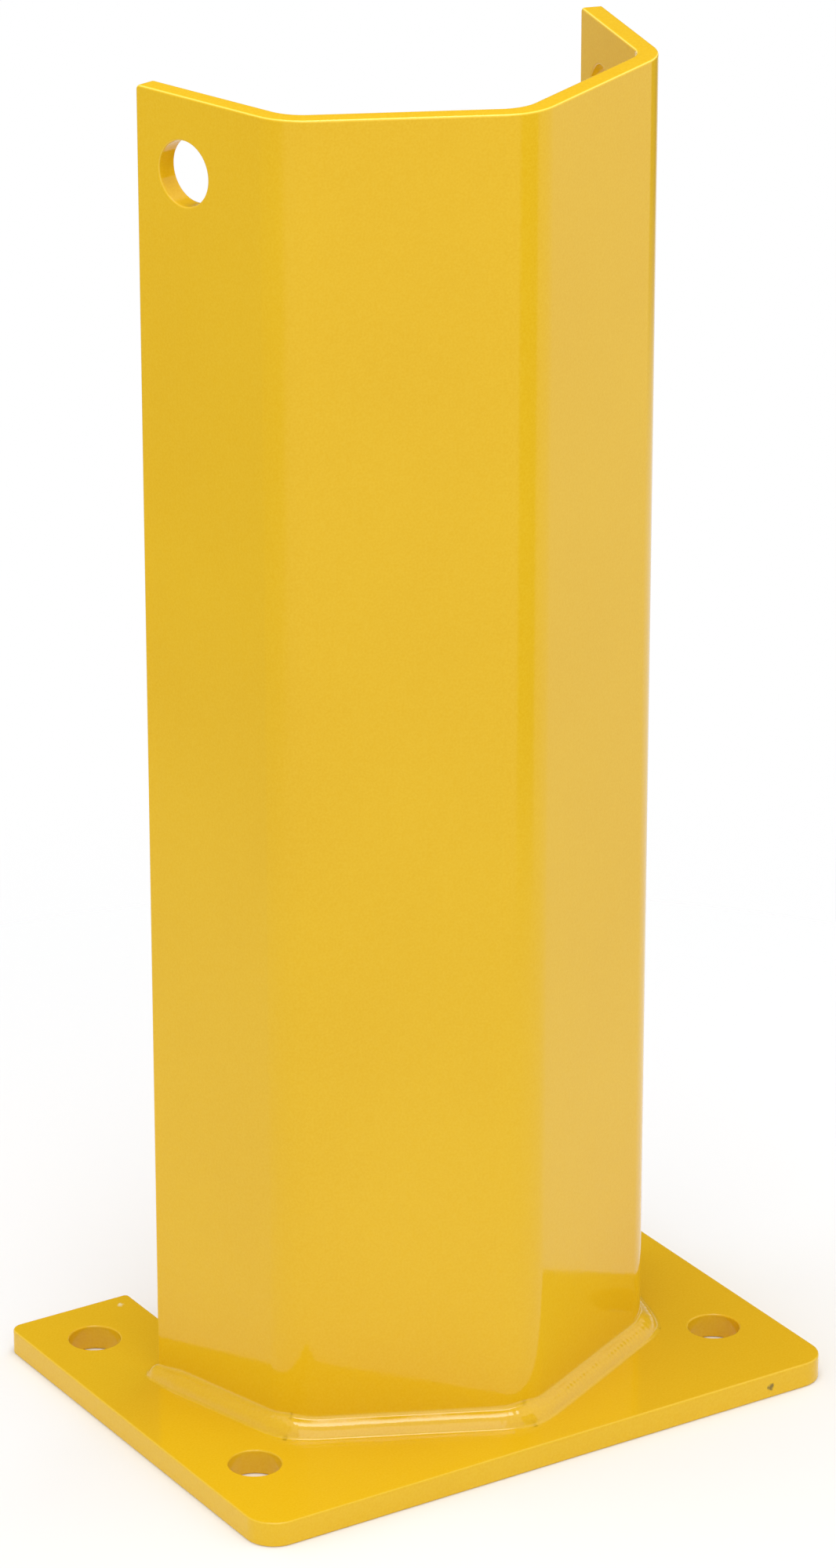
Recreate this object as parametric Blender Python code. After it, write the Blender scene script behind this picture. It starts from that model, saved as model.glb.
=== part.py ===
"""Steel column guard for a pallet rack.

A plate bent three times stands upright on an anchor plate, and four fillet weld runs join the two.
The nose of the guard points along -Y, the anchor plate lies on z = 0, and its centre is the origin.
All lengths are in metres and all angles in degrees unless a name says otherwise.
"""

import math

import bmesh
import bpy
from mathutils import Matrix, Vector

# Anchor plate: 8 x 6 x 5/16 in, notched at the back so that it clears the rack column's own foot.
PLATE_WIDTH = 0.2032
PLATE_DEPTH = 0.1524
PLATE_THICKNESS = 0.00794
FRONT_CORNER_RADIUS = 0.0095
BACK_CORNER_RADIUS = 0.004
NOTCH_WIDTH = 0.119
NOTCH_DEPTH = 0.0508
ANCHOR_HOLE_DIAMETER = 0.0159
ANCHOR_HOLE_SPACING_X = 0.1656
ANCHOR_HOLE_FROM_FRONT = 0.036
ANCHOR_HOLE_FROM_BACK = 0.0207

# Guard: 1/4 in plate, bent at the nose and at both shoulders, 16 in high.
GUARD_HEIGHT = 0.4064
GUARD_THICKNESS = 0.00635
NOSE_SETBACK = 0.0148
FACE_LENGTH = 0.0715
FACE_ANGLE = 26.0
FLANGE_LENGTH = 0.0558
FLANGE_ANGLE = 75.0
OUTER_BEND_RADIUS = 0.01905
FLANGE_HOLE_DIAMETER = 0.019
FLANGE_HOLE_FROM_EDGE = 0.0183
FLANGE_HOLE_FROM_TOP = 0.0225

# Fillet welds, laid on the outside and wrapped round both free ends.
WELD_LEG_OUT = 0.0055
WELD_LEG_UP = 0.0048
WELD_BULGE = 0.0006
WELD_RETURN = 0.010

# Pieces that touch on the real object keep this gap.
GAP = 0.0003
EDGE_RADIUS = 0.0008
EDGE_SEGMENTS = 2
BEND_SEGMENTS = 10
CORNER_SEGMENTS = 8
HOLE_SEGMENTS = 40
END_SEGMENTS = 4
WELD_SECTION_SEGMENTS = 6
SHARP_ANGLE = 35.0
CUTTER_OVERSHOOT = 0.01

YELLOW = (0.79, 0.47, 0.03)
WELD_YELLOW = (0.80, 0.48, 0.035)
COAT_ROUGHNESS = 0.22


def clear_scene():
    for obj in list(bpy.data.objects):
        bpy.data.objects.remove(obj, do_unlink=True)


def coated_steel(name, colour):
    material = bpy.data.materials.new(name)
    material.use_nodes = True
    shader = material.node_tree.nodes["Principled BSDF"]
    shader.inputs["Base Color"].default_value = (*colour, 1.0)
    shader.inputs["Roughness"].default_value = COAT_ROUGHNESS
    shader.inputs["Metallic"].default_value = 0.0
    return material


def add_object(name, mesh, material=None):
    obj = bpy.data.objects.new(name, mesh)
    bpy.context.scene.collection.objects.link(obj)
    if material:
        mesh.materials.append(material)
    return obj


def mesh_from(name, bm):
    bm.normal_update()
    bmesh.ops.recalc_face_normals(bm, faces=bm.faces)
    mesh = bpy.data.meshes.new(name)
    bm.to_mesh(mesh)
    bm.free()
    return mesh


def shade_round(obj):
    obj.data.shade_smooth()
    obj.data.set_sharp_from_angle(angle=math.radians(SHARP_ANGLE))


def extruded(name, outline, bottom, top):
    """A closed prism on a plan outline of 2-D points."""
    bm = bmesh.new()
    face = bm.faces.new([bm.verts.new((point.x, point.y, bottom)) for point in outline])
    grown = bmesh.ops.extrude_face_region(bm, geom=[face])
    risen = [item for item in grown["geom"] if isinstance(item, bmesh.types.BMVert)]
    bmesh.ops.translate(bm, verts=risen, vec=(0.0, 0.0, top - bottom))
    return mesh_from(name, bm)


def arc(centre, radius, start, end, segments):
    """2-D points from start to end, both in radians, round the centre."""
    angles = [start + (end - start) * step / segments for step in range(segments + 1)]
    return [centre + radius * Vector((math.cos(angle), math.sin(angle))) for angle in angles]


def drill(obj, name, centre, axis, diameter, length):
    """Cuts a round hole with a Boolean; the cutter stays in the file as a hidden helper."""
    bm = bmesh.new()
    bmesh.ops.create_cone(
        bm,
        cap_ends=True,
        segments=HOLE_SEGMENTS,
        radius1=diameter / 2,
        radius2=diameter / 2,
        depth=length,
    )
    turn = axis.to_track_quat("Z", "Y").to_matrix().to_4x4()
    bm.transform(Matrix.Translation(centre) @ turn)
    cutter = add_object(name, mesh_from(name, bm))
    cutter.hide_render = True
    cutter.display_type = "WIRE"
    modifier = obj.modifiers.new(name, "BOOLEAN")
    modifier.operation = "DIFFERENCE"
    modifier.solver = "EXACT"
    modifier.object = cutter


def ease_edges(obj):
    modifier = obj.modifiers.new("eased_edges", "BEVEL")
    modifier.width = EDGE_RADIUS
    modifier.segments = EDGE_SEGMENTS
    modifier.limit_method = "ANGLE"
    modifier.angle_limit = math.radians(SHARP_ANGLE)


def plate_outline():
    """Plan of the anchor plate, counter-clockwise from its front left corner."""
    half_x = PLATE_WIDTH / 2
    half_y = PLATE_DEPTH / 2
    half_notch = NOTCH_WIDTH / 2
    notch_y = half_y - NOTCH_DEPTH
    points = []
    corners = (
        (-1, -1, FRONT_CORNER_RADIUS, 180.0),
        (1, -1, FRONT_CORNER_RADIUS, 270.0),
        (1, 1, BACK_CORNER_RADIUS, 0.0),
        (-1, 1, BACK_CORNER_RADIUS, 90.0),
    )
    for side_x, side_y, radius, start in corners:
        if (side_x, side_y) == (-1, 1):
            points += [Vector((half_notch, half_y)), Vector((half_notch, notch_y))]
            points += [Vector((-half_notch, notch_y)), Vector((-half_notch, half_y))]
        centre = Vector((side_x * (half_x - radius), side_y * (half_y - radius)))
        points += arc(centre, radius, math.radians(start), math.radians(start + 90), CORNER_SEGMENTS)
    return points


def build_base_plate(material):
    mesh = extruded("base_plate", plate_outline(), 0.0, PLATE_THICKNESS)
    plate = add_object("base_plate", mesh, material)
    front_row = -PLATE_DEPTH / 2 + ANCHOR_HOLE_FROM_FRONT
    back_row = PLATE_DEPTH / 2 - ANCHOR_HOLE_FROM_BACK
    length = PLATE_THICKNESS + CUTTER_OVERSHOOT
    for row_name, y in (("front", front_row), ("back", back_row)):
        for side_name, side in (("left", -1), ("right", 1)):
            centre = Vector((side * ANCHOR_HOLE_SPACING_X / 2, y, PLATE_THICKNESS / 2))
            name = f"anchor_hole_{row_name}_{side_name}"
            drill(plate, name, centre, Vector((0, 0, 1)), ANCHOR_HOLE_DIAMETER, length)
    ease_edges(plate)
    shade_round(plate)
    return plate


def heading(degrees):
    return Vector((math.cos(math.radians(degrees)), math.sin(math.radians(degrees))))


def guard_corners():
    """Sharp outer corners of the guard in plan: free end, shoulder, nose, shoulder, free end."""
    nose = Vector((0.0, -PLATE_DEPTH / 2 + NOSE_SETBACK))
    shoulder = nose + FACE_LENGTH * heading(FACE_ANGLE)
    free_end = shoulder + FLANGE_LENGTH * heading(FLANGE_ANGLE)
    left = [Vector((-point.x, point.y)) for point in (free_end, shoulder)]
    return left + [nose, shoulder, free_end]


def outward(direction):
    """Normal on the outside of the guard, for a run that goes from its left end to its right end."""
    return Vector((direction.y, -direction.x))


def bend_samples(before, corner, after):
    """(point, normal) pairs round one bend of the outer face."""
    normal_in = outward((corner - before).normalized())
    normal_out = outward((after - corner).normalized())
    bend = normal_in.angle(normal_out)
    reach = OUTER_BEND_RADIUS * math.tan(bend / 2)
    start = corner - (corner - before).normalized() * reach
    centre = start - normal_in * OUTER_BEND_RADIUS
    first = math.atan2(normal_in.y, normal_in.x)
    samples = []
    for step in range(BEND_SEGMENTS + 1):
        angle = first + bend * step / BEND_SEGMENTS
        normal = Vector((math.cos(angle), math.sin(angle)))
        samples.append((centre + OUTER_BEND_RADIUS * normal, normal))
    return samples


def guard_samples():
    """The outer face of the guard in plan as runs: left end, three bends, right end."""
    corners = guard_corners()
    first_normal = outward((corners[1] - corners[0]).normalized())
    last_normal = outward((corners[4] - corners[3]).normalized())
    bends = [bend_samples(*corners[index - 1 : index + 2]) for index in (1, 2, 3)]
    return [[(corners[0], first_normal)], *bends, [(corners[4], last_normal)]]


def build_guard(material):
    samples = [sample for run in guard_samples() for sample in run]
    outer = [point for point, _ in samples]
    inner = [point - normal * GUARD_THICKNESS for point, normal in samples]
    bottom = PLATE_THICKNESS + GAP
    top = PLATE_THICKNESS + GUARD_HEIGHT
    mesh = extruded("guard", outer + inner[::-1], bottom, top)
    guard = add_object("guard", mesh, material)
    corners = guard_corners()
    for side_name, end, shoulder in (("left", corners[0], corners[1]), ("right", corners[4], corners[3])):
        along = (shoulder - end).normalized()
        middle = end + along * FLANGE_HOLE_FROM_EDGE
        centre = Vector((middle.x, middle.y, top - FLANGE_HOLE_FROM_TOP))
        axis = Vector((along.y, -along.x, 0.0))
        length = 2 * GUARD_THICKNESS + CUTTER_OVERSHOOT
        drill(guard, f"flange_hole_{side_name}", centre, axis, FLANGE_HOLE_DIAMETER, length)
    ease_edges(guard)
    shade_round(guard)
    return guard


def free_end_path(end, normal, along):
    """Weld path from inside a free end, round its end face, to the outer face."""
    inner_corner = end - normal * GUARD_THICKNESS
    path = [(inner_corner + along * WELD_RETURN, -normal)]
    path.append((inner_corner + along * GAP, -normal))
    for corner, first, last in ((inner_corner, -normal, -along), (end, -along, normal)):
        for step in range(END_SEGMENTS + 1):
            share = step / END_SEGMENTS
            path.append((corner, first.slerp(last, share)))
    return path


def weld_paths():
    """Named weld runs as (point, outward normal) pairs; neighbouring runs stop at the middle of a bend."""
    left_end, left_bend, nose_bend, right_bend, right_end = guard_samples()
    middle = BEND_SEGMENTS // 2
    corners = guard_corners()
    left_along = (corners[1] - corners[0]).normalized()
    right_along = (corners[3] - corners[4]).normalized()
    left_return = free_end_path(*left_end[0], left_along)
    right_return = free_end_path(*right_end[0], right_along)
    return {
        "weld_left_flange": left_return + left_bend[: middle + 1],
        "weld_left_face": left_bend[middle:] + nose_bend[: middle + 1],
        "weld_right_face": nose_bend[middle:] + right_bend[: middle + 1],
        "weld_right_flange": right_bend[middle:] + right_return[::-1],
    }


def trimmed(path):
    """The path with half a gap taken off each end, so that two runs keep clear of each other."""
    points = [point.copy() for point, _ in path]
    normals = [normal for _, normal in path]
    points[0] += (points[1] - points[0]).normalized() * GAP
    points[-1] += (points[-2] - points[-1]).normalized() * GAP
    return list(zip(points, normals))


def weld_section():
    """Convex fillet section as (out, up) pairs, from the root along the plate and back up the wall."""
    section = [(GAP, GAP)]
    for step in range(WELD_SECTION_SEGMENTS + 1):
        share = step / WELD_SECTION_SEGMENTS
        bulge = WELD_BULGE * math.sin(math.pi * share)
        out = GAP + (WELD_LEG_OUT - GAP) * (1 - share) + bulge
        up = GAP + (WELD_LEG_UP - GAP) * share + bulge
        section.append((out, up))
    return section


def build_weld(name, path, material):
    section = weld_section()
    bm = bmesh.new()
    rings = []
    for point, normal in trimmed(path):
        ring = []
        for out, up in section:
            place = point + normal * out
            ring.append(bm.verts.new((place.x, place.y, PLATE_THICKNESS + up)))
        rings.append(ring)
    count = len(section)
    for ring, following in zip(rings, rings[1:]):
        for index in range(count):
            after = (index + 1) % count
            bm.faces.new((ring[index], ring[after], following[after], following[index]))
    bm.faces.new(rings[0])
    bm.faces.new(rings[-1][::-1])
    weld = add_object(name, mesh_from(name, bm), material)
    shade_round(weld)
    return weld


def main():
    clear_scene()
    build_base_plate(coated_steel("plate_coat", YELLOW))
    build_guard(coated_steel("guard_coat", YELLOW))
    for name, path in weld_paths().items():
        build_weld(name, path, coated_steel(f"{name}_coat", WELD_YELLOW))


main()
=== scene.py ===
# %% [markdown]
# # A steel guard for the foot of a pallet rack column
#
# The real object is made from two pieces of thick steel plate. One is cut flat and bolted to
# the floor. The other is bent three times on a press brake, stands on the first and is
# welded to it along its outside. Then the whole thing is powder coated yellow.
#
# This script makes each of those pieces the way the shop does: plates with eased edges, then
# the bends, then the weld beads. The recipe for the coat comes before them, because a piece
# gets its coat as soon as it is made.

# %% Load the frame
import math

import bmesh
import bpy
from mathutils import Matrix, Vector


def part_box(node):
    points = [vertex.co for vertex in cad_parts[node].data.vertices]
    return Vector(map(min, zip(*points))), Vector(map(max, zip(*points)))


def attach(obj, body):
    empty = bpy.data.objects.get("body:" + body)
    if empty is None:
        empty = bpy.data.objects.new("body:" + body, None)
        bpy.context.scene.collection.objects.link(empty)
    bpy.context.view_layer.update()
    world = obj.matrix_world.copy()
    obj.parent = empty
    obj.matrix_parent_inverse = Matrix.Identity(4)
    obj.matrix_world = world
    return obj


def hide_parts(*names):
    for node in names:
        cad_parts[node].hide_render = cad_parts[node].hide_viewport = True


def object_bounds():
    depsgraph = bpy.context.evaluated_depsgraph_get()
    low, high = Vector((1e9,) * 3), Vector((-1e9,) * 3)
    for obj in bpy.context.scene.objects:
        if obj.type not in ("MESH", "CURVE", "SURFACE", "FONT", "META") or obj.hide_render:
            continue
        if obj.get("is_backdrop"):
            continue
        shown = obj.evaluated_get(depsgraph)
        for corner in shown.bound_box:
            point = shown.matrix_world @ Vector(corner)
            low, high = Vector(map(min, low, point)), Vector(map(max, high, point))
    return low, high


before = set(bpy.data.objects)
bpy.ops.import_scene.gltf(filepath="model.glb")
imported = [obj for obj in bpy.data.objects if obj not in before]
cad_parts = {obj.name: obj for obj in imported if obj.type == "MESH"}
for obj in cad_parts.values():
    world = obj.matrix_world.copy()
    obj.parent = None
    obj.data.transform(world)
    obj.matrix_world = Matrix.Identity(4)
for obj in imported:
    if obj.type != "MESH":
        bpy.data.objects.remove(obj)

MM = 0.001
cad_low, cad_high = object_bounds()
plate_low, plate_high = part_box("base_plate")
guard_low, guard_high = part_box("guard")
print("nodes in the frame:", ", ".join(sorted(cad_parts)))
print("overall size in mm:", [round(side / MM, 2) for side in cad_high - cad_low])

# %% [markdown]
# ## Camera
#
# The guard is seen from its front left and from a little above, with a long lens, so that
# its sides stay close to parallel. The camera is placed by two angles and a distance from a
# point on the guard's axis, because those numbers say plainly how the guard is seen.

# %% Camera
CAMERA_AZIMUTH = -32.4
CAMERA_ELEVATION = 22.2
CAMERA_DISTANCE = 1.862
AIM_HEIGHT = 0.1934
FOCAL_LENGTH_MM = 144.0
SENSOR_MM = 36.0
NEAREST_SEEN = 0.05
FARTHEST_SEEN = 50.0


def direction_from(azimuth, elevation):
    """Unit vector from the object towards a viewer or a lamp; azimuth 0 stands in front, at -Y."""
    a = math.radians(azimuth)
    e = math.radians(elevation)
    return Vector((math.sin(a) * math.cos(e), -math.cos(a) * math.cos(e), math.sin(e)))


camera_data = bpy.data.cameras.new("camera")
camera_data.lens = FOCAL_LENGTH_MM
camera_data.sensor_width = SENSOR_MM
camera_data.clip_start = NEAREST_SEEN
camera_data.clip_end = FARTHEST_SEEN
camera = bpy.data.objects.new("camera", camera_data)
bpy.context.scene.collection.objects.link(camera)
towards_camera = direction_from(CAMERA_AZIMUTH, CAMERA_ELEVATION)
camera.location = Vector((0.0, 0.0, AIM_HEIGHT)) + CAMERA_DISTANCE * towards_camera
camera.rotation_euler = (-towards_camera).to_track_quat("-Z", "Y").to_euler()
bpy.context.scene.camera = camera
print("camera at", [round(value, 3) for value in camera.location])

# %% [markdown]
# ## Floor
#
# Gloss paint shows whatever stands round it, so the room matters as much as the lamps. A
# white floor gives the pale wash on the upright faces. It could run on to a wall, but then
# its far edge would show. It fades out with distance from the guard instead, and leaves a
# plain white backdrop. Materials are trees of nodes, and a few helpers keep them short.

# %% Objects and nodes
def linked(name, mesh):
    """An object for this mesh, at the origin."""
    obj = bpy.data.objects.new(name, mesh)
    bpy.context.scene.collection.objects.link(obj)
    return obj


def add_node(tree, kind, inputs=None, **settings):
    """A node with its settings; each input is linked from another socket or set to a value."""
    node = tree.nodes.new(kind)
    for key, value in settings.items():
        setattr(node, key, value)
    for key, source in (inputs or {}).items():
        if isinstance(source, bpy.types.NodeSocket):
            tree.links.new(source, node.inputs[key])
        else:
            node.inputs[key].default_value = source
    return node


def maths(tree, operation, first, second=0.0, third=0.0):
    inputs = {0: first, 1: second, 2: third}
    return add_node(tree, "ShaderNodeMath", inputs, operation=operation).outputs["Value"]


def vector_maths(tree, operation, first, second=(0.0, 0.0, 0.0), output="Vector"):
    inputs = {0: first, 1: second}
    return add_node(tree, "ShaderNodeVectorMath", inputs, operation=operation).outputs[output]


def ranged(tree, value, low, high, to_low=0.0, to_high=1.0, **settings):
    """The value carried over from one range to another, and held at the new range's ends."""
    inputs = {"Value": value, "From Min": low, "From Max": high, "To Min": to_low, "To Max": to_high}
    return add_node(tree, "ShaderNodeMapRange", inputs, **settings).outputs["Result"]


# %% Plain materials
def plain_material(name):
    material = bpy.data.materials.new(name)
    material.use_nodes = True
    return material, material.node_tree.nodes["Principled BSDF"]


def matte_material(name, colour, roughness):
    """A material with no gloss, for the things that stand round the guard."""
    material, shader = plain_material(name)
    shader.inputs["Base Color"].default_value = (*colour, 1.0)
    shader.inputs["Roughness"].default_value = roughness
    shader.inputs["Specular IOR Level"].default_value = 0.0
    return material, shader


# %% Floor
FLOOR_HALF_SIZE = 0.6
FLOOR_COLOUR = (0.925, 0.932, 0.945)
FLOOR_ROUGHNESS = 0.6
FLOOR_SOLID_RADIUS = 0.12
FLOOR_FADED_RADIUS = 0.50

floor_paper, floor_shader = matte_material("floor_paper", FLOOR_COLOUR, FLOOR_ROUGHNESS)
paper = floor_paper.node_tree
floor_place = add_node(paper, "ShaderNodeTexCoord").outputs["Object"]
from_guard = vector_maths(paper, "LENGTH", floor_place, output="Value")
paper_cover = ranged(
    paper, from_guard, FLOOR_FADED_RADIUS, FLOOR_SOLID_RADIUS, interpolation_type="SMOOTHSTEP"
)
paper.links.new(paper_cover, floor_shader.inputs["Alpha"])

floor_mesh = bpy.data.meshes.new("floor")
floor_signs = [(-1, -1), (1, -1), (1, 1), (-1, 1)]
floor_corners = [(x * FLOOR_HALF_SIZE, y * FLOOR_HALF_SIZE, 0.0) for x, y in floor_signs]
floor_mesh.from_pydata(floor_corners, [], [(0, 1, 2, 3)])
floor_mesh.materials.append(floor_paper)
floor = linked("floor", floor_mesh)
floor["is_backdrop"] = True
print("floor: solid to", FLOOR_SOLID_RADIUS, "m and gone at", FLOOR_FADED_RADIUS, "m")

# %% [markdown]
# ## Sky
#
# The sky is nearly white all round, apart from one dark patch low down behind the guard. The
# anchor plate mirrors that patch, and a bright wall there would turn its yellow milky. The
# camera looks at a plain white backdrop, so the patch is only ever seen in the paint.

# %% Sky
SKY_BRIGHT = 0.90
SKY_DIM = 0.08
DIM_AZIMUTH = CAMERA_AZIMUTH + 180.0
DIM_ELEVATION = 24.0
# Cosines of the angles from the middle of the patch to its edge and to where it is darkest.
DIM_EDGE = 0.80
DIM_CORE = 0.97
BACKDROP = 1.0
WHITE = (1.0, 1.0, 1.0, 1.0)

world = bpy.data.worlds.new("studio")
world.use_nodes = True
bpy.context.scene.world = world
sky = world.node_tree
sky.nodes.clear()
looking = add_node(sky, "ShaderNodeTexCoord").outputs["Generated"]
patch_way = direction_from(DIM_AZIMUTH, DIM_ELEVATION)
near_patch = vector_maths(sky, "DOT_PRODUCT", looking, patch_way, "Value")
sky_light = ranged(
    sky, near_patch, DIM_EDGE, DIM_CORE, SKY_BRIGHT, SKY_DIM, interpolation_type="SMOOTHSTEP"
)
from_camera = add_node(sky, "ShaderNodeLightPath").outputs["Is Camera Ray"]
sky_seen = add_node(sky, "ShaderNodeMix", {"Factor": from_camera, "A": sky_light, "B": BACKDROP})
background = add_node(
    sky, "ShaderNodeBackground", {"Color": WHITE, "Strength": sky_seen.outputs["Result"]}
)
add_node(sky, "ShaderNodeOutputWorld", {"Surface": background.outputs["Background"]})
print("sky: brightness", SKY_BRIGHT, "and", SKY_DIM, "in the patch")

# %% [markdown]
# ## Lamps
#
# Two large square lamps give soft light. The one overhead is for the anchor plate and the
# top edges, and the one at the front left is for the upright faces. Both are placed as the
# camera is, and neither shows in the picture.

# %% Lamps
# Each lamp has its name, azimuth, elevation, distance, width and power in watts.
LAMPS = (
    ("top_softbox", -10.0, 85.0, 0.88, 0.5, 3.6),
    ("left_softbox", -27.0, 30.0, 1.8, 1.0, 2.8),
)

for name, azimuth, elevation, distance, width, power in LAMPS:
    lamp_data = bpy.data.lights.new(name, "AREA")
    lamp_data.size = width
    lamp_data.energy = power
    lamp = bpy.data.objects.new(name, lamp_data)
    lamp.visible_camera = False
    bpy.context.scene.collection.objects.link(lamp)
    towards_lamp = direction_from(azimuth, elevation)
    lamp.location = Vector((0.0, 0.0, AIM_HEIGHT)) + distance * towards_lamp
    lamp.rotation_euler = (-towards_lamp).to_track_quat("-Z", "Y").to_euler()
bpy.context.scene.view_settings.view_transform = "Standard"
print("lamps:", [lamp_row[0] for lamp_row in LAMPS])

# %% [markdown]
# ## Dark cards
#
# A studio stands dark cards, called flags, beside a glossy part. The paint mirrors them as
# darker stripes and washes, and those draw the bends. They are there for reflections only,
# so the camera and the soft light don't see them and they throw no shadow. Each card fades
# out towards its sides and its foot, which keeps its reflection soft.

# %% Card paper
FLAG_COLOUR = (0.14, 0.125, 0.10)
FLAG_ROUGHNESS = 0.9
# Where a card is clear and where it is solid, measured on a card that reaches from -1 to 1
# across and from 0 to 1 up.
FLAG_SIDE_FADE = (1.0, 0.55)
FLAG_FOOT_FADE = (0.0, 0.36)

flag_card, flag_shader = matte_material("flag_card", FLAG_COLOUR, FLAG_ROUGHNESS)
card = flag_card.node_tree
card_place = add_node(card, "ShaderNodeTexCoord").outputs["Object"]
spot = add_node(card, "ShaderNodeSeparateXYZ", {"Vector": card_place}).outputs
from_middle = maths(card, "ABSOLUTE", spot["X"])
side_cover = ranged(card, from_middle, *FLAG_SIDE_FADE, interpolation_type="SMOOTHSTEP")
foot_cover = ranged(card, spot["Z"], *FLAG_FOOT_FADE, interpolation_type="SMOOTHSTEP")
fade = maths(card, "MULTIPLY", side_cover, foot_cover)
own_cover = add_node(card, "ShaderNodeObjectInfo").outputs["Alpha"]
card.links.new(maths(card, "MULTIPLY", fade, own_cover), flag_shader.inputs["Alpha"])
print("card paper:", len(card.nodes), "nodes")

# %% Cards
# Each card has its name, azimuth, distance, width, height and how much it covers at most.
FLAGS = (
    ("front_flag", 24.0, 0.36, 0.25, 0.36, 0.85),
    ("right_flag", 105.0, 0.78, 0.56, 0.50, 1.0),
    ("rear_flag", -177.0, 0.50, 0.40, 0.50, 0.7),
    ("left_flag", -118.0, 0.32, 1.00, 0.55, 0.62),
)
CARD_CORNERS = [(-1, 0, 0), (1, 0, 0), (1, 0, 1), (-1, 0, 1)]

for name, azimuth, distance, width, height, most_cover in FLAGS:
    flag_mesh = bpy.data.meshes.new(name)
    flag_mesh.from_pydata(CARD_CORNERS, [], [(0, 1, 2, 3)])
    flag_mesh.materials.append(flag_card)
    flag = linked(name, flag_mesh)
    flag.location = distance * direction_from(azimuth, 0.0)
    flag.rotation_euler = (0.0, 0.0, math.radians(azimuth))
    flag.scale = (width / 2, 1.0, height)
    flag.color = (1.0, 1.0, 1.0, most_cover)
    flag.visible_camera = False
    flag.visible_diffuse = False
    flag.visible_shadow = False
    flag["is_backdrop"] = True
print("cards:", [flag_row[0] for flag_row in FLAGS])

# %% [markdown]
# ## Powder coat
#
# Powder coat is sprayed on dry and melted in an oven. It levels out almost like glass, but
# keeps a fine orange peel. A flat yellow would look like plastic, so one function makes the
# coat for every piece and mixes three things by position on the piece: slow drifts in
# thickness, a fine grain, and a painted highlight, a paler yellow on the rounded edges in
# place of the light they catch, which each mesh marks in an attribute of its own.
# The anchor plate also has a scuff and a pale speck.

# %% Coat values
COAT_YELLOW = (0.785, 0.470, 0.007)
COAT_DEEP = (0.770, 0.452, 0.006)
COAT_THIN = (0.90, 0.64, 0.045)
# Painted highlight: the paler yellow that rounded edges are mixed towards, standing in for the light they
# catch.
COAT_EDGE_HIGHLIGHT = (0.93, 0.72, 0.12)
COAT_ROUGHNESS = 0.05
COAT_ROUGHNESS_DRIFT = 0.06
COAT_SPECULAR = 0.36
BEAD_SPECULAR = 0.65
# How far round an edge the painted highlight starts to show.
EDGE_HIGHLIGHT_START = 0.15
DRIFT_SCALE = 14.0
GLOSS_DRIFT_SCALE = 84.0
GRAIN_SCALE = 1500.0
GRAIN_SHARE = 0.22
PEEL_SCALE = 420.0
PEEL_HEIGHT = 0.018 * MM
# Noise gathers round one half, and these are the parts of its range that show.
NARROW_NOISE = (0.35, 0.65)
WIDE_NOISE = (0.3, 0.7)
# A mark has its centre, its radius and its colour.
SCUFF = ((79.248 * MM, plate_low.y, 3.573 * MM), 1.3 * MM, (0.10, 0.075, 0.03))
SPECK = ((-65.0 * MM, plate_high.y - 5.5 * MM, plate_high.z), 1.2 * MM, (0.90, 0.78, 0.45))
MARK_SCALE = 900.0
MARK_CORE = 0.4
MARK_STRENGTH = 0.8
MARK_RAGGEDNESS = 2.0
print("coat: grain of", round(1 / GRAIN_SCALE / MM, 2), "mm, peel of", round(1 / PEEL_SCALE / MM, 2), "mm")

# %% Coat helpers
# A Mix node has several inputs called A and B, so its colours go by number.
MIX_FIRST_COLOUR = 6
MIX_SECOND_COLOUR = 7
MIX_COLOUR_OUT = 2


def noise(tree, place, scale, detail=2.0):
    """A noise value between 0 and 1 with features about one over scale metres across."""
    inputs = {"Vector": place, "Scale": scale, "Detail": detail}
    return add_node(tree, "ShaderNodeTexNoise", inputs).outputs["Fac"]


def mixed(tree, share, first, second):
    """A colour between two colours; each is a socket or three numbers."""
    node = add_node(tree, "ShaderNodeMix", {"Factor": share}, data_type="RGBA")
    for key, colour in ((MIX_FIRST_COLOUR, first), (MIX_SECOND_COLOUR, second)):
        if isinstance(colour, bpy.types.NodeSocket):
            tree.links.new(colour, node.inputs[key])
        else:
            node.inputs[key].default_value = (*colour, 1.0)
    return node.outputs[MIX_COLOUR_OUT]


def marked(tree, place, centre, radius):
    """How strongly a small ragged mark shows here, from nothing to MARK_STRENGTH."""
    away = vector_maths(tree, "DISTANCE", place, centre, "Value")
    ragged = maths(tree, "SUBTRACT", noise(tree, place, MARK_SCALE), 0.5)
    away = maths(tree, "ADD", away, maths(tree, "MULTIPLY", ragged, MARK_RAGGEDNESS * radius))
    return ranged(tree, away, radius, MARK_CORE * radius, 0.0, MARK_STRENGTH)


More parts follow.
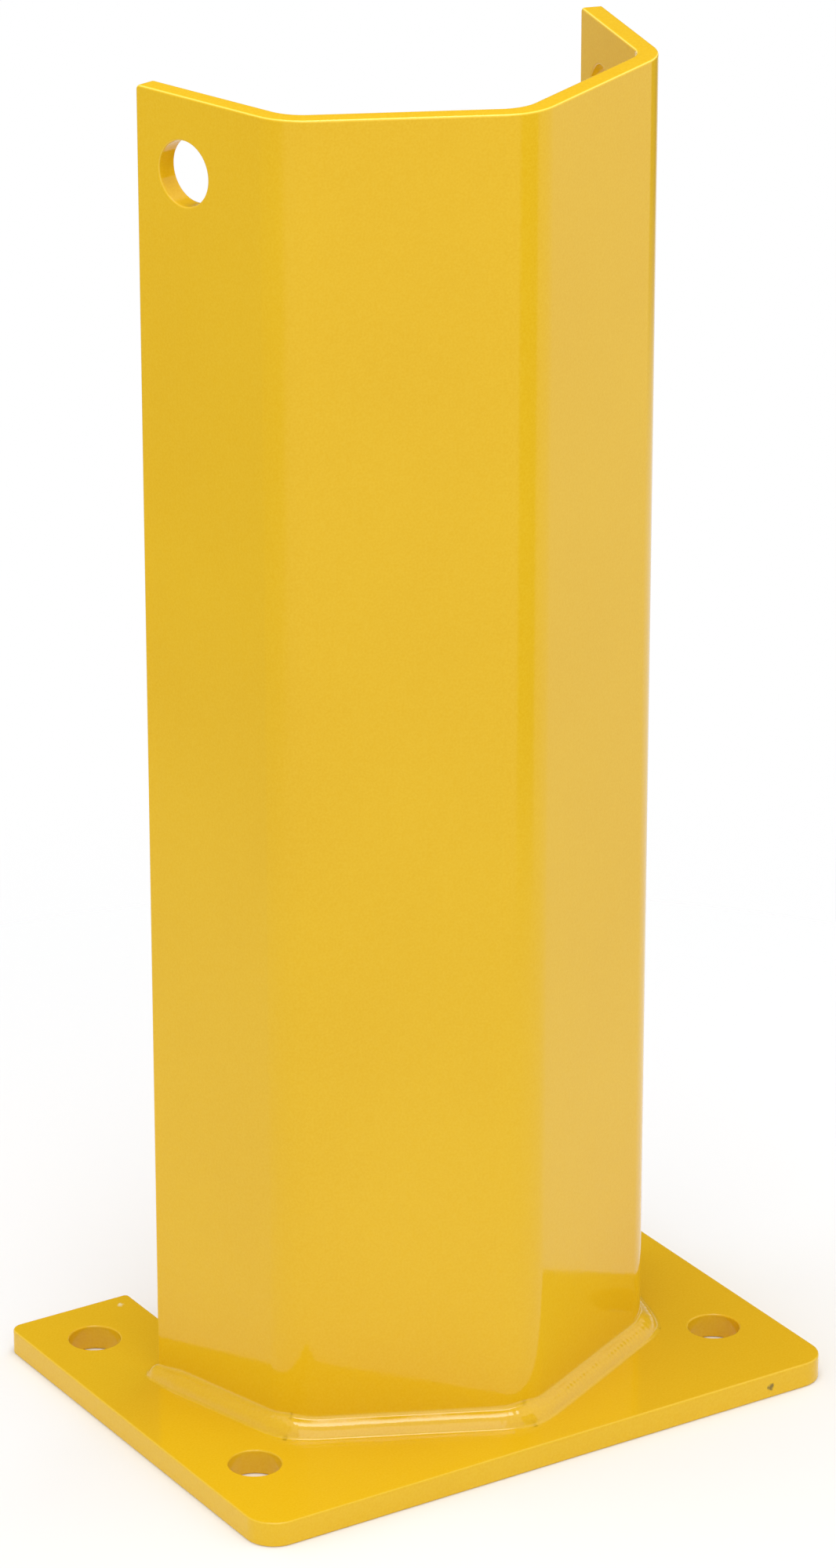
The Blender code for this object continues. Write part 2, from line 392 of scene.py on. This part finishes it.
# %% Coats
def powder_coat(name, peel=1.0, edge_highlight_share=0.9, specular=COAT_SPECULAR, marks=()):
    """The yellow coat; peel scales its orange peel, and the edge share how strongly its rounded edges are
    painted paler as a painted highlight.
    """
    material, shader = plain_material(name)
    shader.inputs["Specular IOR Level"].default_value = specular
    tree = material.node_tree
    place = add_node(tree, "ShaderNodeTexCoord").outputs["Object"]
    drift = ranged(tree, noise(tree, place, DRIFT_SCALE), *NARROW_NOISE)
    colour = mixed(tree, drift, COAT_YELLOW, COAT_DEEP)
    grain = noise(tree, place, GRAIN_SCALE, detail=1.0)
    grain = ranged(tree, grain, *WIDE_NOISE, 0.0, GRAIN_SHARE)
    colour = mixed(tree, grain, colour, COAT_THIN)
    # Painted highlight: each rounded edge is mixed towards the paler yellow by how far round it the point
    # lies.
    painted_highlight = add_node(tree, "ShaderNodeAttribute", attribute_name="painted_highlight").outputs["Fac"]
    colour = mixed(tree, ranged(tree, painted_highlight, EDGE_HIGHLIGHT_START, 1.0, 0.0, edge_highlight_share), colour, COAT_EDGE_HIGHLIGHT)
    for centre, radius, mark_colour in marks:
        colour = mixed(tree, marked(tree, place, centre, radius), colour, mark_colour)
    tree.links.new(colour, shader.inputs["Base Color"])
    rough = noise(tree, place, GLOSS_DRIFT_SCALE)
    most_rough = COAT_ROUGHNESS + COAT_ROUGHNESS_DRIFT
    rough = ranged(tree, rough, *WIDE_NOISE, COAT_ROUGHNESS, most_rough)
    tree.links.new(rough, shader.inputs["Roughness"])
    bump = add_node(
        tree,
        "ShaderNodeBump",
        {
            "Height": noise(tree, place, PEEL_SCALE, detail=1.5),
            "Distance": PEEL_HEIGHT * peel,
            "Strength": 1.0,
        },
    )
    tree.links.new(bump.outputs["Normal"], shader.inputs["Normal"])
    return material


guard_coat = powder_coat("guard_powder_coat")
# The anchor plate's edges get a weaker painted highlight than the guard's.
plate_coat = powder_coat("plate_powder_coat", peel=1.2, edge_highlight_share=0.3, marks=(SCUFF, SPECK))
bead_coat = powder_coat("bead_powder_coat", peel=0.6, specular=BEAD_SPECULAR)
print("coats:", guard_coat.name, plate_coat.name, bead_coat.name)

# %% [markdown]
# ## Plates with eased edges
#
# Both plates start flat. Holes could be cut from a box with Booleans, but those leave ragged
# faces round each hole. A filled curve is cleaner: one closed line for the outline, one for
# each hole, some extrusion for the thickness, and a round bevel for the eased edge. The
# bevel swells the outline by its own radius, so the curve's offset takes the same amount
# back. The curve is then turned into a mesh, its seams are closed, and each point notes how
# far it is round an edge.

# %% Outlines
HOLE_POINTS = 64
CORNER_POINTS = 12
CUT_CORNER_RADIUS = 1.5 * MM


def rounded(corners):
    """The closed outline through (x, y, radius) right-angled corners, each turned by an arc."""
    points = []
    for index, (x, y, radius) in enumerate(corners):
        corner = Vector((x, y))
        following = Vector(corners[(index + 1) % len(corners)][:2])
        way_in = (corner - Vector(corners[index - 1][:2])).normalized() * radius
        way_out = (following - corner).normalized() * radius
        centre = corner - way_in + way_out
        for step in range(CORNER_POINTS + 1):
            turn = math.pi / 2 * step / CORNER_POINTS
            points.append(tuple(centre - way_out * math.cos(turn) + way_in * math.sin(turn)))
    return points


def circle(x, y, diameter):
    """Points round a hole, clockwise, against the outline's direction."""
    turns = [-2 * math.pi * step / HOLE_POINTS for step in range(HOLE_POINTS)]
    radius = diameter / 2
    return [(x + radius * math.cos(turn), y + radius * math.sin(turn)) for turn in turns]


print("outlines:", CORNER_POINTS, "steps round a corner,", HOLE_POINTS, "round a hole")

# %% Flat plate
EDGE_STEPS = 3
SEAM_GAP = 0.02 * MM
# How much of the painted edge highlight the edges round a hole keep.
HOLE_EDGE_HIGHLIGHT_SHARE = 0.4
# How far the normal halfway round an edge is from lying flat.
HALF_ROUND = 1.0 - math.sqrt(0.5)


def plate_curve(name, lines, thickness, edge_radius):
    """A flat filled curve through these closed lines; the first is the outline."""
    curve = bpy.data.curves.new(name, "CURVE")
    curve.dimensions = "2D"
    curve.fill_mode = "BOTH"
    curve.extrude = thickness / 2 - edge_radius
    curve.bevel_depth = edge_radius
    curve.bevel_resolution = EDGE_STEPS
    curve.offset = -edge_radius
    for points in lines:
        spline = curve.splines.new("POLY")
        spline.points.add(len(points) - 1)
        for point, (x, y) in zip(spline.points, points):
            point.co = (x, y, 0.0, 1.0)
        spline.use_cyclic_u = True
    return curve


def flat_plate(name, outline, holes, thickness, edge_radius):
    """A plate lying in XY, centred on z = 0, with every edge rounded."""
    helper = linked(name, plate_curve(name, (outline, *holes), thickness, edge_radius))
    graph = bpy.context.evaluated_depsgraph_get()
    mesh = bpy.data.meshes.new_from_object(helper.evaluated_get(graph))
    bpy.data.objects.remove(helper)
    bm = bmesh.new()
    bm.from_mesh(mesh)
    bmesh.ops.remove_doubles(bm, verts=bm.verts, dist=SEAM_GAP)
    bmesh.ops.recalc_face_normals(bm, faces=bm.faces)
    bm.normal_update()
    hole_zones = []
    for points in holes:
        middle = sum((Vector(point) for point in points), Vector((0, 0))) / len(points)
        hole_zones.append((middle, (Vector(points[0]) - middle).length + 2 * edge_radius))
    # For the painted highlight, each point notes how far round an edge it lies; near a hole it counts for
    # less.
    painted_highlight = bm.verts.layers.float.new("painted_highlight")
    for vert in bm.verts:
        flatness = max(abs(vert.normal.z), math.hypot(vert.normal.x, vert.normal.y))
        vert[painted_highlight] = min(1.0, (1.0 - flatness) / HALF_ROUND)
        if any((vert.co.xy - middle).length < reach for middle, reach in hole_zones):
            vert[painted_highlight] *= HOLE_EDGE_HIGHLIGHT_SHARE
    bm.to_mesh(mesh)
    bm.free()
    return mesh


print("eased edges:", EDGE_STEPS, "extra steps round each")

# %% Finishing
FLAT_FACE_WEIGHT = 90


def finished(obj, material, slot, *nodes):
    """Smooth shading that keeps flats flat, the coat, and the piece's place in the frame."""
    obj.data.materials.clear()
    obj.data.materials.append(material)
    obj.data.shade_smooth()
    weighted = obj.modifiers.new("weighted_normals", "WEIGHTED_NORMAL")
    weighted.weight = FLAT_FACE_WEIGHT
    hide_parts(*nodes)
    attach(obj, "root")
    print(obj.name, "stands for", ", ".join(nodes), "with", len(obj.data.polygons), "faces")


# %% [markdown]
# ## Anchor plate
#
# The anchor plate is eight by six inches, cut out of flat steel. It has rounded corners,
# a square notch at the back that lets the rack column's own foot in, and four holes for
# floor anchors. Nothing on it is bent, so the flat plate of the last step is the whole piece
# once it is lifted onto the floor.

# %% Anchor plate
FRONT_CORNER_RADIUS = 9.5 * MM
BACK_CORNER_RADIUS = 4.0 * MM
NOTCH_WIDTH = 119.0 * MM
NOTCH_DEPTH = 50.8 * MM
ANCHOR_HOLE_DIAMETER = 15.9 * MM
ANCHOR_HOLE_HALF_SPACING = 82.8 * MM
FRONT_ROW_FROM_EDGE = 36.0 * MM
BACK_ROW_FROM_EDGE = 20.7 * MM
PLATE_EDGE_RADIUS = 0.6 * MM

anchor_plate_corners = [
    (plate_low.x, plate_low.y, FRONT_CORNER_RADIUS),
    (plate_high.x, plate_low.y, FRONT_CORNER_RADIUS),
    (plate_high.x, plate_high.y, BACK_CORNER_RADIUS),
    (NOTCH_WIDTH / 2, plate_high.y, CUT_CORNER_RADIUS),
    (NOTCH_WIDTH / 2, plate_high.y - NOTCH_DEPTH, CUT_CORNER_RADIUS),
    (-NOTCH_WIDTH / 2, plate_high.y - NOTCH_DEPTH, CUT_CORNER_RADIUS),
    (-NOTCH_WIDTH / 2, plate_high.y, CUT_CORNER_RADIUS),
    (plate_low.x, plate_high.y, BACK_CORNER_RADIUS),
]
anchor_holes = [
    circle(side * ANCHOR_HOLE_HALF_SPACING, row, ANCHOR_HOLE_DIAMETER)
    for row in (plate_low.y + FRONT_ROW_FROM_EDGE, plate_high.y - BACK_ROW_FROM_EDGE)
    for side in (-1, 1)
]
plate_outline = rounded(anchor_plate_corners)
plate_thickness = plate_high.z - plate_low.z
plate_mesh = flat_plate(
    "anchor_plate", plate_outline, anchor_holes, plate_thickness, PLATE_EDGE_RADIUS
)
plate_mesh.transform(Matrix.Translation((0.0, 0.0, (plate_low.z + plate_high.z) / 2)))
anchor_plate = linked("anchor_plate", plate_mesh)
finished(anchor_plate, plate_coat, "plate_coat", "base_plate")

# %% [markdown]
# ## Bend line
#
# Seen from above, the outside of the guard is five corners joined by straight runs: a free
# end, a shoulder, the nose, a shoulder and a free end. The three in the middle are bends of
# one radius. Everything that follows the guard is laid out along this one line, so that the
# wall and its weld beads can't drift apart.

# %% Corners of the guard
NOSE_SETBACK = 14.8 * MM
FACE_LENGTH = 71.5 * MM
FACE_ANGLE = 26.0
FLANGE_LENGTH = 55.8 * MM
FLANGE_ANGLE = 75.0
BEND_RADIUS = 19.05 * MM
WALL = 6.35 * MM


def heading(degrees):
    return Vector((math.cos(math.radians(degrees)), math.sin(math.radians(degrees))))


def mirrored(point):
    return Vector((-point.x, point.y))


nose = Vector((0.0, plate_low.y + NOSE_SETBACK))
shoulder = nose + FACE_LENGTH * heading(FACE_ANGLE)
free_end = shoulder + FLANGE_LENGTH * heading(FLANGE_ANGLE)
GUARD_CORNERS = [mirrored(free_end), mirrored(shoulder), nose, shoulder, free_end]
print("corners in mm:", [tuple(round(value / MM, 1) for value in point) for point in GUARD_CORNERS])

# %% Outer line
LINE_STEP = 0.5 * MM


def outward(direction):
    """The outer side of a run that goes from the left end to the right end."""
    return Vector((direction.y, -direction.x))


def runs_and_bends():
    """The outer line in order: ("run", start, end, way) and ("bend", centre, normal, angle)."""
    pieces = []
    start = GUARD_CORNERS[0]
    for before, corner, after in zip(GUARD_CORNERS, GUARD_CORNERS[1:], GUARD_CORNERS[2:]):
        way_in = (corner - before).normalized()
        way_out = (after - corner).normalized()
        bend = way_in.angle(way_out)
        reach = BEND_RADIUS * math.tan(bend / 2)
        entry = corner - way_in * reach
        pieces.append(("run", start, entry, way_in))
        pieces.append(("bend", entry - outward(way_in) * BEND_RADIUS, outward(way_in), bend))
        start = corner + way_out * reach
    pieces.append(("run", start, GUARD_CORNERS[-1], (GUARD_CORNERS[-1] - start).normalized()))
    return pieces


def outer_line(step):
    """Dense (length, point, outward normal) samples of the outer face from end to end."""
    samples = []
    travelled = 0.0
    pieces = runs_and_bends()
    for kind, first, second, third in pieces:
        length = (second - first).length if kind == "run" else BEND_RADIUS * third
        count = max(1, round(length / step))
        for index in range(count):
            share = index / count
            if kind == "run":
                point = first.lerp(second, share)
                normal = outward(third)
            else:
                normal = second.copy()
                normal.rotate(Matrix.Rotation(third * share, 2))
                point = first + normal * BEND_RADIUS
            samples.append((travelled + share * length, point, normal))
        travelled += length
    samples.append((travelled, GUARD_CORNERS[-1], outward(pieces[-1][3])))
    return samples


line_samples = outer_line(LINE_STEP)
developed_length = line_samples[-1][0]
print("length of the blank along its outer face in mm:", round(developed_length / MM, 2))

# %% [markdown]
# ## Geometry Nodes helpers
#
# The guard and its weld beads both follow a path, so each is made by a Geometry Nodes tree.
# A tree is a recipe with named sizes. It runs once on a simple starting mesh, and what comes
# out is kept as a plain mesh, so nothing depends on the tree afterwards.

# %% Trees
GEOMETRY = "NodeSocketGeometry"
NUMBER = "NodeSocketFloat"
OBJECT = "NodeSocketObject"
MATERIAL = "NodeSocketMaterial"


def new_tree(name, inputs):
    """An empty tree with (label, socket type) inputs and one geometry output."""
    tree = bpy.data.node_groups.new(name, "GeometryNodeTree")
    for label, kind in inputs:
        tree.interface.new_socket(label, in_out="INPUT", socket_type=kind)
    tree.interface.new_socket("Geometry", in_out="OUTPUT", socket_type=GEOMETRY)
    return tree, tree.nodes.new("NodeGroupInput").outputs


def end_tree(tree, geometry, material):
    """Realizes and coats the geometry, and sends it out of the tree."""
    real = add_node(tree, "GeometryNodeRealizeInstances", {"Geometry": geometry})
    inputs = {"Geometry": real.outputs["Geometry"], "Material": material}
    coated = add_node(tree, "GeometryNodeSetMaterial", inputs)
    add_node(tree, "NodeGroupOutput", {"Geometry": coated.outputs["Geometry"]})
    print(tree.name, "tree:", len(tree.nodes), "nodes")


def run_tree(tree, name, mesh, values):
    """An object with the plain mesh that the tree makes of this mesh and these named values."""
    helper = linked(name + "_start", mesh)
    modifier = helper.modifiers.new(tree.name, "NODES")
    modifier.node_group = tree
    for item in tree.interface.items_tree:
        if item.in_out == "INPUT" and item.name in values:
            modifier[item.identifier] = values[item.name]
    graph = bpy.context.evaluated_depsgraph_get()
    made = bpy.data.meshes.new_from_object(helper.evaluated_get(graph))
    bpy.data.objects.remove(helper)
    made.name = name
    return linked(name, made)


# %% Starting lines
SAME_PLACE = 1e-9


def polyline(name, points, **attributes):
    """Points joined by edges, with one float attribute per keyword; a loop if its ends meet."""
    loop = (Vector(points[0]) - Vector(points[-1])).length < SAME_PLACE
    points = points[:-1] if loop else points
    count = len(points)
    edges = [(index, (index + 1) % count) for index in range(count if loop else count - 1)]
    mesh = bpy.data.meshes.new(name)
    mesh.from_pydata([tuple(point) for point in points], edges, [])
    for label, values in attributes.items():
        attribute = mesh.attributes.new(label, "FLOAT", "POINT")
        attribute.data.foreach_set("value", values[:count])
    return mesh


def named_value(tree, label):
    """The attribute with this name, as a socket."""
    return add_node(tree, "GeometryNodeInputNamedAttribute", {"Name": label}).outputs["Attribute"]


def scaled(tree, vector, factor):
    inputs = {0: vector, "Scale": factor}
    return add_node(tree, "ShaderNodeVectorMath", inputs, operation="SCALE").outputs["Vector"]


# %% [markdown]
# ## Guard
#
# The guard could be pulled up from a bent outline in one go, but its flange holes would then
# have to be cut through finished walls. It begins instead as the shop's flat blank, as long
# as its outer face is when rolled out, with the two flange holes already in it. Cuts across
# the blank give it points where it has to bend. Then the tree does what the press brake
# does: it reads how far along the blank each point lies, finds the same length on the bend
# line, and moves the point there.

# %% Flat blank
GUARD_EDGE_RADIUS = 0.7 * MM
FLANGE_HOLE_DIAMETER = 19.0 * MM
FLANGE_HOLE_FROM_EDGE = 18.3 * MM
FLANGE_HOLE_FROM_TOP = 22.5 * MM

guard_height = guard_high.z - guard_low.z
hole_height = guard_height - FLANGE_HOLE_FROM_TOP
hole_lengths = (FLANGE_HOLE_FROM_EDGE, developed_length - FLANGE_HOLE_FROM_EDGE)
blank_corners = [
    (0.0, 0.0, CUT_CORNER_RADIUS),
    (developed_length, 0.0, CUT_CORNER_RADIUS),
    (developed_length, guard_height, CUT_CORNER_RADIUS),
    (0.0, guard_height, CUT_CORNER_RADIUS),
]
blank_holes = [circle(length, hole_height, FLANGE_HOLE_DIAMETER) for length in hole_lengths]
blank = flat_plate("guard_blank", rounded(blank_corners), blank_holes, WALL, GUARD_EDGE_RADIUS)
print("blank:", round(developed_length / MM, 1), "by", round(guard_height / MM, 1), "mm")

# %% Cuts for the bends
BEND_CUT_STEP = 0.8 * MM
LEAST_TURN = 1e-6
CUT_TOLERANCE = 1e-7


def turning(index):
    """Whether the bend line turns at this sample."""
    return (line_samples[index][2] - line_samples[index - 1][2]).length > LEAST_TURN


bent = [line_samples[index][0] for index in range(1, len(line_samples)) if turning(index)]
bm = bmesh.new()
bm.from_mesh(blank)
last_cut = -BEND_CUT_STEP
for length in bent:
    if length - last_cut < BEND_CUT_STEP:
        continue
    last_cut = length
    bmesh.ops.bisect_plane(
        bm,
        geom=bm.verts[:] + bm.edges[:] + bm.faces[:],
        plane_co=(length, 0, 0),
        plane_no=(1, 0, 0),
        dist=CUT_TOLERANCE,
    )
bm.to_mesh(blank)
bm.free()
print("blank, cut for its bends:", len(blank.vertices), "points")

# %% Press brake
UP = (0.0, 0.0, 1.0)

press_brake, given = new_tree(
    "press_brake",
    [
        ("Blank", GEOMETRY),
        ("Bend Line", OBJECT),
        ("Wall", NUMBER),
        ("Floor", NUMBER),
        ("Coat", MATERIAL),
    ],
)
flat_place = press_brake.nodes.new("GeometryNodeInputPosition").outputs["Position"]
flat = add_node(press_brake, "ShaderNodeSeparateXYZ", {"Vector": flat_place}).outputs
line = add_node(press_brake, "GeometryNodeObjectInfo", {"Object": given["Bend Line"]})
line = add_node(press_brake, "GeometryNodeMeshToCurve", {"Mesh": line.outputs["Geometry"]})
found = add_node(
    press_brake,
    "GeometryNodeSampleCurve",
    {"Curves": line.outputs["Curve"], "Length": flat["X"]},
    mode="LENGTH",
).outputs
across = vector_maths(press_brake, "CROSS_PRODUCT", found["Tangent"], UP)
across = vector_maths(press_brake, "NORMALIZE", across)
half_wall = maths(press_brake, "MULTIPLY", given["Wall"], 0.5)
depth = maths(press_brake, "SUBTRACT", flat["Z"], half_wall)
height = maths(press_brake, "ADD", flat["Y"], given["Floor"])
lift = add_node(press_brake, "ShaderNodeCombineXYZ", {"Z": height}).outputs["Vector"]
bent_place = vector_maths(press_brake, "ADD", found["Position"], scaled(press_brake, across, depth))
bent_place = vector_maths(press_brake, "ADD", bent_place, lift)
moved = add_node(
    press_brake, "GeometryNodeSetPosition", {"Geometry": given["Blank"], "Position": bent_place}
)
end_tree(press_brake, moved.outputs["Geometry"], given["Coat"])

# %% Guard
bend_line = linked("bend_line", polyline("bend_line", [(*point, 0.0) for _, point, _ in line_samples]))
guard_sizes = {"Bend Line": bend_line, "Wall": WALL, "Floor": guard_low.z, "Coat": guard_coat}
guard = run_tree(press_brake, "bent_guard", blank, guard_sizes)
bpy.data.objects.remove(bend_line)
finished(guard, guard_coat, "guard_coat", "guard")

# %% [markdown]
# ## Weld beads
#
# A fillet weld fills the corner between the wall and the anchor plate. Its face is slightly
# convex and rippled, it blends into both plates at its toes, and it swells where one run
# ties into the next. A bevel along the corner would be too even, and modelling the ripples
# by hand too slow, so a tree sweeps one section along a path at the foot of the wall. Each
# point of the path says how large the bead is there, so the bead slims down where it wraps
# round a free end.

# %% Bead section
BEAD_OUT = 5.0 * MM
BEAD_UP = 4.6 * MM
BEAD_CROWN = 0.9 * MM
TOE_RADIUS = 1.1 * MM
ROOT = 0.3 * MM
FACE_STEPS = 16
TOE_STEPS = 6
# Steps of the bead's face that each toe takes the place of.
TOE_START = 3


def concave_toe(first, corner, last):
    """A smooth curve from first to last that turns before it reaches the corner."""
    points = []
    for step in range(TOE_STEPS + 1):
        share = step / TOE_STEPS
        weights = ((1 - share) ** 2, 2 * share * (1 - share), share**2)
        out = sum(weight * point[0] for weight, point in zip(weights, (first, corner, last)))
        up = sum(weight * point[1] for weight, point in zip(weights, (first, corner, last)))
        points.append((out, up, 0.0))
    return points


def bead_section():
    """The closed section as (out, up, crown) points; crown is 1 in mid face and 0 at a toe."""
    lean = math.atan2(BEAD_OUT, BEAD_UP)
    face = []
    for step in range(FACE_STEPS + 1):
        share = step / FACE_STEPS
        crown = math.sin(math.pi * share)
        out = BEAD_OUT * share + BEAD_CROWN * crown * math.cos(lean)
        up = BEAD_UP * (1 - share) + BEAD_CROWN * crown * math.sin(lean)
        face.append((out, up, crown))
    top = BEAD_UP + TOE_RADIUS
    side = BEAD_OUT + TOE_RADIUS
    points = [(-ROOT, -ROOT, 0.0), (-ROOT, top, 0.0)]
    points += concave_toe((0.0, top), (0.0, BEAD_UP), face[TOE_START - 1])
    points += face[TOE_START:-TOE_START]
    points += concave_toe(face[-TOE_START], (BEAD_OUT, 0.0), (side, 0.0))
    points += [(side, -ROOT, 0.0), (-ROOT, -ROOT, 0.0)]
    return points


section_points = bead_section()
section = polyline(
    "bead_section",
    [(out, -up, 0.0) for out, up, _ in section_points],
    crown=[crown for _, _, crown in section_points],
)
section_object = linked("bead_section", section)
print("bead section:", len(section.vertices), "points")

# %% Bead tree: the sweep
weld, given = new_tree(
    "fillet_weld",
    [
        ("Path", GEOMETRY),
        ("Section", OBJECT),
        ("Step", NUMBER),
        ("Ripple Height", NUMBER),
        ("Ripple Pitch", NUMBER),
        ("Waviness", NUMBER),
        ("Wave Length", NUMBER),
        ("Seed", NUMBER),
        ("Coat", MATERIAL),
    ],
)
path = add_node(weld, "GeometryNodeMeshToCurve", {"Mesh": given["Path"]}).outputs["Curve"]
path_inputs = {"Curve": path, "Length": given["Step"]}
path = add_node(weld, "GeometryNodeResampleCurve", path_inputs, mode="LENGTH").outputs["Curve"]
path = add_node(weld, "GeometryNodeSetCurveNormal", {"Curve": path}, mode="Z_UP").outputs["Curve"]
profile = add_node(weld, "GeometryNodeObjectInfo", {"Object": given["Section"]}).outputs["Geometry"]
profile = add_node(weld, "GeometryNodeMeshToCurve", {"Mesh": profile}).outputs["Curve"]
swept = add_node(
    weld,
    "GeometryNodeCurveToMesh",
    {
        "Curve": path,
        "Profile Curve": profile,
        "Scale": named_value(weld, "bead_size"),
        "Fill Caps": True,
    },
).outputs["Mesh"]
print("sweep:", len(weld.nodes), "nodes")

# %% Bead tree: the ripples
# How far the slow wave pushes the ripples to and fro along the bead, in radians.
RIPPLE_WANDER = 6.0

place = weld.nodes.new("GeometryNodeInputPosition").outputs["Position"]
wave = add_node(
    weld,
    "ShaderNodeTexNoise",
    {
        "Vector": place,
        "W": given["Seed"],
        "Scale": maths(weld, "DIVIDE", 1.0, given["Wave Length"]),
        "Detail": 1.0,
    },
    noise_dimensions="4D",
).outputs["Fac"]
sway = maths(weld, "MULTIPLY", maths(weld, "SUBTRACT", wave, 0.5), given["Waviness"])
turns = maths(weld, "DIVIDE", named_value(weld, "run_length"), given["Ripple Pitch"])
turns = maths(weld, "MULTIPLY", turns, 2 * math.pi)
turns = maths(weld, "MULTIPLY_ADD", wave, RIPPLE_WANDER, turns)
ripple = maths(weld, "MULTIPLY", maths(weld, "SINE", turns), given["Ripple Height"])
share = maths(weld, "MULTIPLY", named_value(weld, "crown"), named_value(weld, "calm"))
rise = maths(weld, "MULTIPLY", maths(weld, "ADD", sway, ripple), share)
normal = weld.nodes.new("GeometryNodeInputNormal").outputs["Normal"]
rippled = add_node(
    weld, "GeometryNodeSetPosition", {"Geometry": swept, "Offset": scaled(weld, normal, rise)}
)
end_tree(weld, rippled.outputs["Geometry"], given["Coat"])

# %% Size along the bead
WRAP_SIZE = 0.74
GROW_OVER = 12.0 * MM
SWELL = 0.10
SWELL_REACH = 4.0 * MM
CALM_REACH = 2.0 * MM


def length_at(corner):
    """How far along the outer line it passes this corner."""
    return min(line_samples, key=lambda sample: (sample[1] - corner).length)[0]


bend_middles = [length_at(corner) for corner in GUARD_CORNERS[1:-1]]


def bead_size(length):
    """Slim at the free ends, full along the runs, and swollen where two runs tie in at a bend."""
    to_end = max(0.0, min(length, developed_length - length))
    share = min(1.0, to_end / GROW_OVER)
    size = WRAP_SIZE + (1.0 - WRAP_SIZE) * share * share * (3.0 - 2.0 * share)
    for middle in bend_middles:
        size += SWELL * math.exp(-(((length - middle) / SWELL_REACH) ** 2))
    return size


def calm_share(length, start, end):
    """The share of its ripples that a station keeps: none at the two ends of its run, which
    have to meet the next run."""
    return min(1.0, (length - start) / CALM_REACH, (end - length) / CALM_REACH)


print("bends at", [round(middle / MM, 1) for middle in bend_middles], "mm along the blank")

# %% Bead paths
WRAP_RETURN = 10.0 * MM
WRAP_CORNER = 0.6 * MM
WRAP_STEPS = 6
TIE_OVERLAP = 0.5 * MM
# How far past the ends of a run a station may lie, to allow for rounding.
ROUNDING = 1e-6


def run_stations(start, end):
    """(length, point) stations of a run along the outer face."""
    stations = [(length, point) for length, point, _ in line_samples]
    return [station for station in stations if start - ROUNDING <= station[0] <= end + ROUNDING]


def wrap_stations():
    """Stations from inside the left free end, round its end face, up to the outer face.
    Their lengths are negative."""
    along = (GUARD_CORNERS[1] - GUARD_CORNERS[0]).normalized()
    normal = outward(along)
    inner = GUARD_CORNERS[0] - normal * WALL
    points = [inner + along * WRAP_RETURN]
    for corner, first, second in ((inner, -normal, -along), (GUARD_CORNERS[0], -along, normal)):
        centre = corner - (first + second) * WRAP_CORNER
        for step in range(WRAP_STEPS + 1):
            turn = math.pi / 2 * step / WRAP_STEPS
            points.append(centre + (first * math.cos(turn) + second * math.sin(turn)) * WRAP_CORNER)
    lengths = [0.0]
    for before, after in zip(reversed(points), reversed(points[:-1])):
        lengths.append(lengths[-1] - (after - before).length)
    return list(zip(reversed(lengths), points))


def mirrored_stations(stations):
    return [(developed_length - length, mirrored(point)) for length, point in reversed(stations)]


left_flange = wrap_stations()
left_flange += run_stations(2 * WRAP_CORNER, bend_middles[0] + TIE_OVERLAP)
left_face = run_stations(bend_middles[0] - TIE_OVERLAP, bend_middles[1] + TIE_OVERLAP)
RUNS = {
    "left_flange": left_flange,
    "left_face": left_face,
    "right_face": mirrored_stations(left_face),
    "right_flange": mirrored_stations(left_flange),
}
for name, stations in RUNS.items():
    print(name, "is", round((stations[-1][0] - stations[0][0]) / MM, 1), "mm long")

# %% Beads
BEAD_SIZES = {
    "Step": 0.5 * MM,
    "Ripple Height": 0.03 * MM,
    "Ripple Pitch": 1.9 * MM,
    "Waviness": 0.6 * MM,
    "Wave Length": 11.0 * MM,
    "Seed": 3.0,
}
CAP_ANGLE = 60.0

for name, stations in RUNS.items():
    first_length = stations[0][0]
    last_length = stations[-1][0]
    path_mesh = polyline(
        name,
        [(*point, plate_high.z) for _, point in stations],
        bead_size=[bead_size(length) for length, _ in stations],
        run_length=[length for length, _ in stations],
        calm=[calm_share(length, first_length, last_length) for length, _ in stations],
    )
    bead_values = {"Section": section_object, "Coat": bead_coat, **BEAD_SIZES}
    bead = run_tree(weld, f"weld_bead_{name}", path_mesh, bead_values)
    bm = bmesh.new()
    bm.from_mesh(bead.data)
    bmesh.ops.recalc_face_normals(bm, faces=bm.faces)
    bm.to_mesh(bead.data)
    bm.free()
    finished(bead, bead_coat, "weld_coat", f"weld_{name}")
    bead.data.set_sharp_from_angle(angle=math.radians(CAP_ANGLE))
    bead.modifiers["weighted_normals"].keep_sharp = True
bpy.data.objects.remove(section_object)

low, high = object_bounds()
changes = [(a - b) / MM for a, b in zip((*low, *high), (*cad_low, *cad_high))]
print("visual minus CAD in mm:", [round(change, 3) for change in changes])
